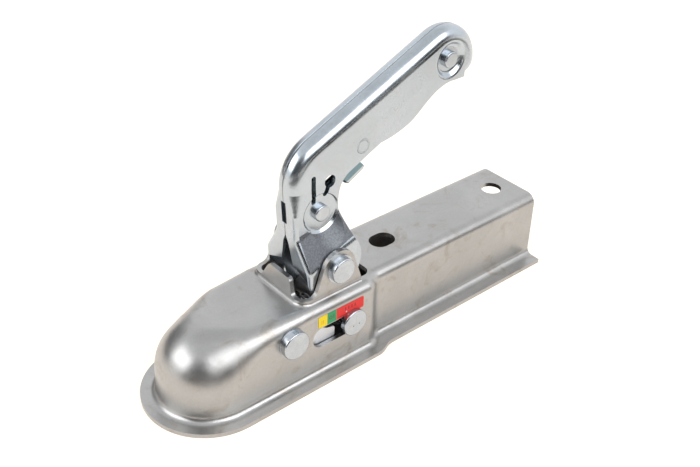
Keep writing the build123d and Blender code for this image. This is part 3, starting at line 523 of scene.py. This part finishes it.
def makeLabelFilm(name, look):
    material, tree, shader = newMaterial(name)
    place = objectPlace(tree)
    low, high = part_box("indicator_label")
    endX = high[0] + look["margin"]
    lowZ, highZ = low[2] - look["margin"], high[2] + look["margin"]
    colour = look["yellow"]
    for startX, field in ((look["greenStart"], look["green"]), (look["redStart"], look["red"])):
        sockets = {"Vector": place, "Low X": startX, "High X": endX, "Low Z": lowZ, "High Z": highZ}
        colour = mixColour(tree, groupNode(tree, fieldMask, sockets), colour, field)
    for bars, ink in ((look["paleBars"], look["paleInk"]), (look["darkBars"], look["ink"])):
        for bar in bars:
            sockets = {"Vector": place} | dict(zip(("Low X", "High X", "Low Z", "High Z"), bar))
            mask = mathNode(tree, "MULTIPLY", groupNode(tree, fieldMask, sockets), look["inkShare"])
            colour = mixColour(tree, mask, colour, ink)
    discs = [groupNode(tree, discMask, {"Vector": place, "Centre": look["ringPlace"], "Radius": radius})
             for radius in look["ringRadii"]]
    colour = mixColour(tree, mathNode(tree, "SUBTRACT", discs[0], discs[1]), colour, look["ink"])
    sockets = {"Vector": place, "Centre": look["dotPlace"], "Radius": look["dotRadius"]}
    colour = mixColour(tree, groupNode(tree, discMask, sockets), colour, look["dot"])
    tree.links.new(colour, shader.inputs["Base Color"])
    shader.inputs["Roughness"].default_value = look["roughness"]
    shader.inputs["Specular IOR Level"].default_value = look["gloss"]
    return material


finishes = {
    "body_zinc": makePlatedSteel("bodyZinc", bodyLook),
    "handle_zinc": makeLeverSteel("handleZinc", handleLook, leverLook),
    "pin_zinc": makePlatedSteel("pinZinc", pinLook),
    "jaw_zinc": makePlatedSteel("jawZinc", jawLook),
    "catch_zinc": makeCatchSteel("catchZinc", catchLook, catchEdge),
    "inner_steel": makePlatedSteel("innerSteel", innerLook),
    "spring_steel": makePlatedSteel("springWire", springLook),
    "label_film": makeLabelFilm("labelFilm", labelLook),
}
lockPinFinish = makeDentedHead("lockPinZinc", pinLook, dentLook)
slotOf = {part["node"]: part["material_slot"] for part in frame["record"]["subparts"]}
for nodeName, piece in frame["nodes"].items():
    piece.data.materials.clear()
    piece.data.materials.append(lockPinFinish if nodeName == "lock_pin" else finishes[slotOf[nodeName]])
print("finishes given to", len(slotOf), "nodes")


# Floor, world, lamps and camera

studio = {
    "floorHalf": 20.0,
    "floorColour": (0.64, 0.59, 0.53, 1),
    "floorGlow": (0.56, 0.52, 0.48, 1),
    "floorRoughness": 0.9,
    "channelHalf": 0.0215,               # half width of the ground inside the channel, which gets no glow
    "channelEnd": 0.2245,
    "domeRadius": 0.030,
    # Painted shade: the floor's colour under the part and inside its channel.
    "paintedShadeUnderPart": (0.05, 0.05, 0.05, 1),
    "backdrop": (1.14, 1.15, 1.17, 1),
    "overhead": (0.86, 0.87, 0.89, 1),
    "overheadRise": (0.55, 0.95),
    "darkRoom": (0.04, 0.043, 0.047, 1),
    "darkWay": (-0.780, -0.610, 0.139),  # the unlit room behind the camera
    "darkReach": (0.68, 0.92),
    "stripWay": (-0.342, -0.940, 0.0),   # the low dark strip under the right lamp
    "stripReach": (0.28, 0.60),
    "stripRise": (0.22, 0.40),
    "gap": (0.20, 0.21, 0.22, 1),
    "gapWay": (-0.351, 0.926, 0.139),    # between the backdrop and the left lamp
    "gapReach": (0.80, 0.94),
    "seenBackdrop": (1, 1, 1, 1),        # plain white behind the part from every side
    "worldStrength": 1.0,
}


# A flat sheet, linked into the scene, with a dull material.
def makeStageSheet(name, corners, roughness):
    mesh = bpy.data.meshes.new(name)
    mesh.from_pydata([tuple(corner) for corner in corners], [], [(0, 1, 2, 3)])
    sheet = bpy.data.objects.new(name, mesh)
    bpy.context.scene.collection.objects.link(sheet)
    material, tree, shader = newMaterial(name)
    shader.inputs["Roughness"].default_value = roughness
    shader.inputs["Specular IOR Level"].default_value = 0.0
    mesh.materials.append(material)
    return sheet, shader


# The pale floor. It glows a little outside the part's own ground, so that it stays white; under the part its
# colour is painted near black as painted shade.
def makeFloor(look):
    height = cadBox[0][2]
    half = look["floorHalf"]
    corners = [(-half, -half, height), (half, -half, height), (half, half, height), (-half, half, height)]
    shader = makeStageSheet("floor", corners, look["floorRoughness"])[1]
    tree = shader.id_data
    shader.inputs["Emission Color"].default_value = look["floorGlow"]
    path = tree.nodes.new("ShaderNodeLightPath").outputs
    seen = mathNode(tree, "ADD", path["Is Camera Ray"], path["Is Glossy Ray"])
    seen = mathNode(tree, "ADD", seen, path["Is Transmission Ray"], clamp=True)
    split = splitNode(tree, objectPlace(tree))
    across = mathNode(tree, "ABSOLUTE", split["Y"])
    inWidth = mathNode(tree, "LESS_THAN", across, look["channelHalf"])
    inFront = mathNode(tree, "GREATER_THAN", split["X"], 0.0)
    beforeEnd = mathNode(tree, "LESS_THAN", split["X"], look["channelEnd"])
    inLength = mathNode(tree, "MULTIPLY", inFront, beforeEnd)
    onFloor = addNode(tree, "ShaderNodeCombineXYZ", None, {0: split["X"], 1: split["Y"]}).outputs[0]
    inDome = mathNode(tree, "LESS_THAN", vectorNode(tree, "LENGTH", onFloor), look["domeRadius"])
    covered = mathNode(tree, "MAXIMUM", mathNode(tree, "MULTIPLY", inWidth, inLength), inDome)
    # Painted shade: near black under the part instead of the pale floor.
    ground = mixColour(tree, covered, look["floorColour"], look["paintedShadeUnderPart"])
    tree.links.new(ground, shader.inputs["Base Color"])
    glow = mathNode(tree, "MULTIPLY", seen, mathNode(tree, "SUBTRACT", 1.0, covered))
    tree.links.new(glow, shader.inputs["Emission Strength"])


cardLook = {
    "places": {                          # degrees from +X, and where the card starts
        "frontCard": (-131.0, 0.28),     # towards the camera
        "sideCard": (-62.0, 0.46),       # to the camera's right
        "backCard": (110.0, 0.55),       # behind the dome
    },
    "end": 2.4,
    "halfWidth": 0.42,
    "lift": 0.001,
    "colour": (0.02, 0.02, 0.022, 1),
    "roughness": 0.9,
}


# Flat dark cards round the part, where the pale sheet ends. Only reflections show them.
def makeDarkCards(look):
    base = Vector((0, 0, cadBox[0][2] + look["lift"]))
    for name, (heading, start) in look["places"].items():
        turn = math.radians(heading)
        out = Vector((math.cos(turn), math.sin(turn), 0.0))
        side = Vector((-out.y, out.x, 0.0)) * look["halfWidth"]
        near, far = base + out * start, base + out * look["end"]
        corners = [near - side, far - side, far + side, near + side]
        card, shader = makeStageSheet(name, corners, look["roughness"])
        shader.inputs["Base Color"].default_value = look["colour"]
        card.visible_camera = False
        card.visible_diffuse = False
        card.visible_shadow = False


# Soft light from all round: a pale backdrop, greyer overhead, and the dark room behind the camera.
def makeWorld(look):
    world = bpy.data.worlds.new("studioWorld")
    bpy.context.scene.world = world
    world.use_nodes = True
    tree = world.node_tree
    place = tree.nodes.new("ShaderNodeTexCoord").outputs["Generated"]
    up = splitNode(tree, place)["Z"]
    overhead = rangeNode(tree, up, look["overheadRise"], (0, 1))
    colour = mixColour(tree, overhead, look["backdrop"], look["overhead"])
    for name, tone in (("gap", "gap"), ("strip", "darkRoom"), ("dark", "darkRoom")):
        along = vectorNode(tree, "DOT_PRODUCT", place, look[name + "Way"])
        share = rangeNode(tree, along, look[name + "Reach"], (0, 1))
        if name == "strip":
            share = mathNode(tree, "MULTIPLY", share, rangeNode(tree, up, look["stripRise"], (1, 0)))
        colour = mixColour(tree, share, colour, look[tone])
    seen = tree.nodes.new("ShaderNodeLightPath").outputs["Is Camera Ray"]
    colour = mixColour(tree, seen, colour, look["seenBackdrop"])
    background = tree.nodes["Background"]
    tree.links.new(colour, background.inputs["Color"])
    background.inputs["Strength"].default_value = look["worldStrength"]


lamps = {
    "leftBox": {
        "place": (-1.95, 0.60, 1.27),
        "size": (2.0, 1.3),
        "watts": 19.5,
        "colour": (0.98, 0.99, 1.0),
    },
    "rightBox": {
        "place": (0.25, -1.77, 1.61),
        "size": (2.5, 1.3),
        "watts": 27.0,
        "colour": (0.99, 0.99, 1.0),
    },
}
lampAim = (0.08, 0.0, 0.04)


def makeLamps(table, aim):
    for name, lamp in table.items():
        light = bpy.data.lights.new(name, "AREA")
        light.shape = "RECTANGLE"
        light.size, light.size_y = lamp["size"]
        light.energy = lamp["watts"]
        light.color = lamp["colour"]
        holder = bpy.data.objects.new(name, light)
        holder.location = lamp["place"]
        towards = Vector(aim) - Vector(lamp["place"])
        holder.rotation_euler = towards.to_track_quat("-Z", "Y").to_euler()
        bpy.context.scene.collection.objects.link(holder)


cameraView = {
    "place": (-0.212461, -0.349082, 0.357508),
    "heading": 41.398,   # degrees from +Y towards +X
    "dip": 34.13,        # degrees below the horizon
    "roll": 1.758,
    "lens": 52.82,
    "sensor": 36.0,
    "clip": (0.01, 100.0),
}


def makeCamera(look):
    heading, dip, roll = (math.radians(look[name]) for name in ("heading", "dip", "roll"))
    forward = Vector((math.sin(heading) * math.cos(dip), math.cos(heading) * math.cos(dip), -math.sin(dip)))
    levelRight = forward.cross(Vector((0, 0, 1))).normalized()
    levelUp = levelRight.cross(forward)
    right = levelRight * math.cos(roll) + levelUp * math.sin(roll)
    up = right.cross(forward)
    data = bpy.data.cameras.new("camera")
    data.lens = look["lens"]
    data.sensor_width = look["sensor"]
    data.clip_start, data.clip_end = look["clip"]
    camera = bpy.data.objects.new("camera", data)
    turn = Matrix((right, up, -forward)).transposed()
    camera.matrix_world = Matrix.Translation(look["place"]) @ turn.to_4x4()
    bpy.context.scene.collection.objects.link(camera)
    bpy.context.scene.camera = camera


makeFloor(studio)
makeDarkCards(cardLook)
makeWorld(studio)
makeLamps(lamps, lampAim)
makeCamera(cameraView)
bpy.context.scene.view_settings.view_transform = "Standard"
print("studio ready")
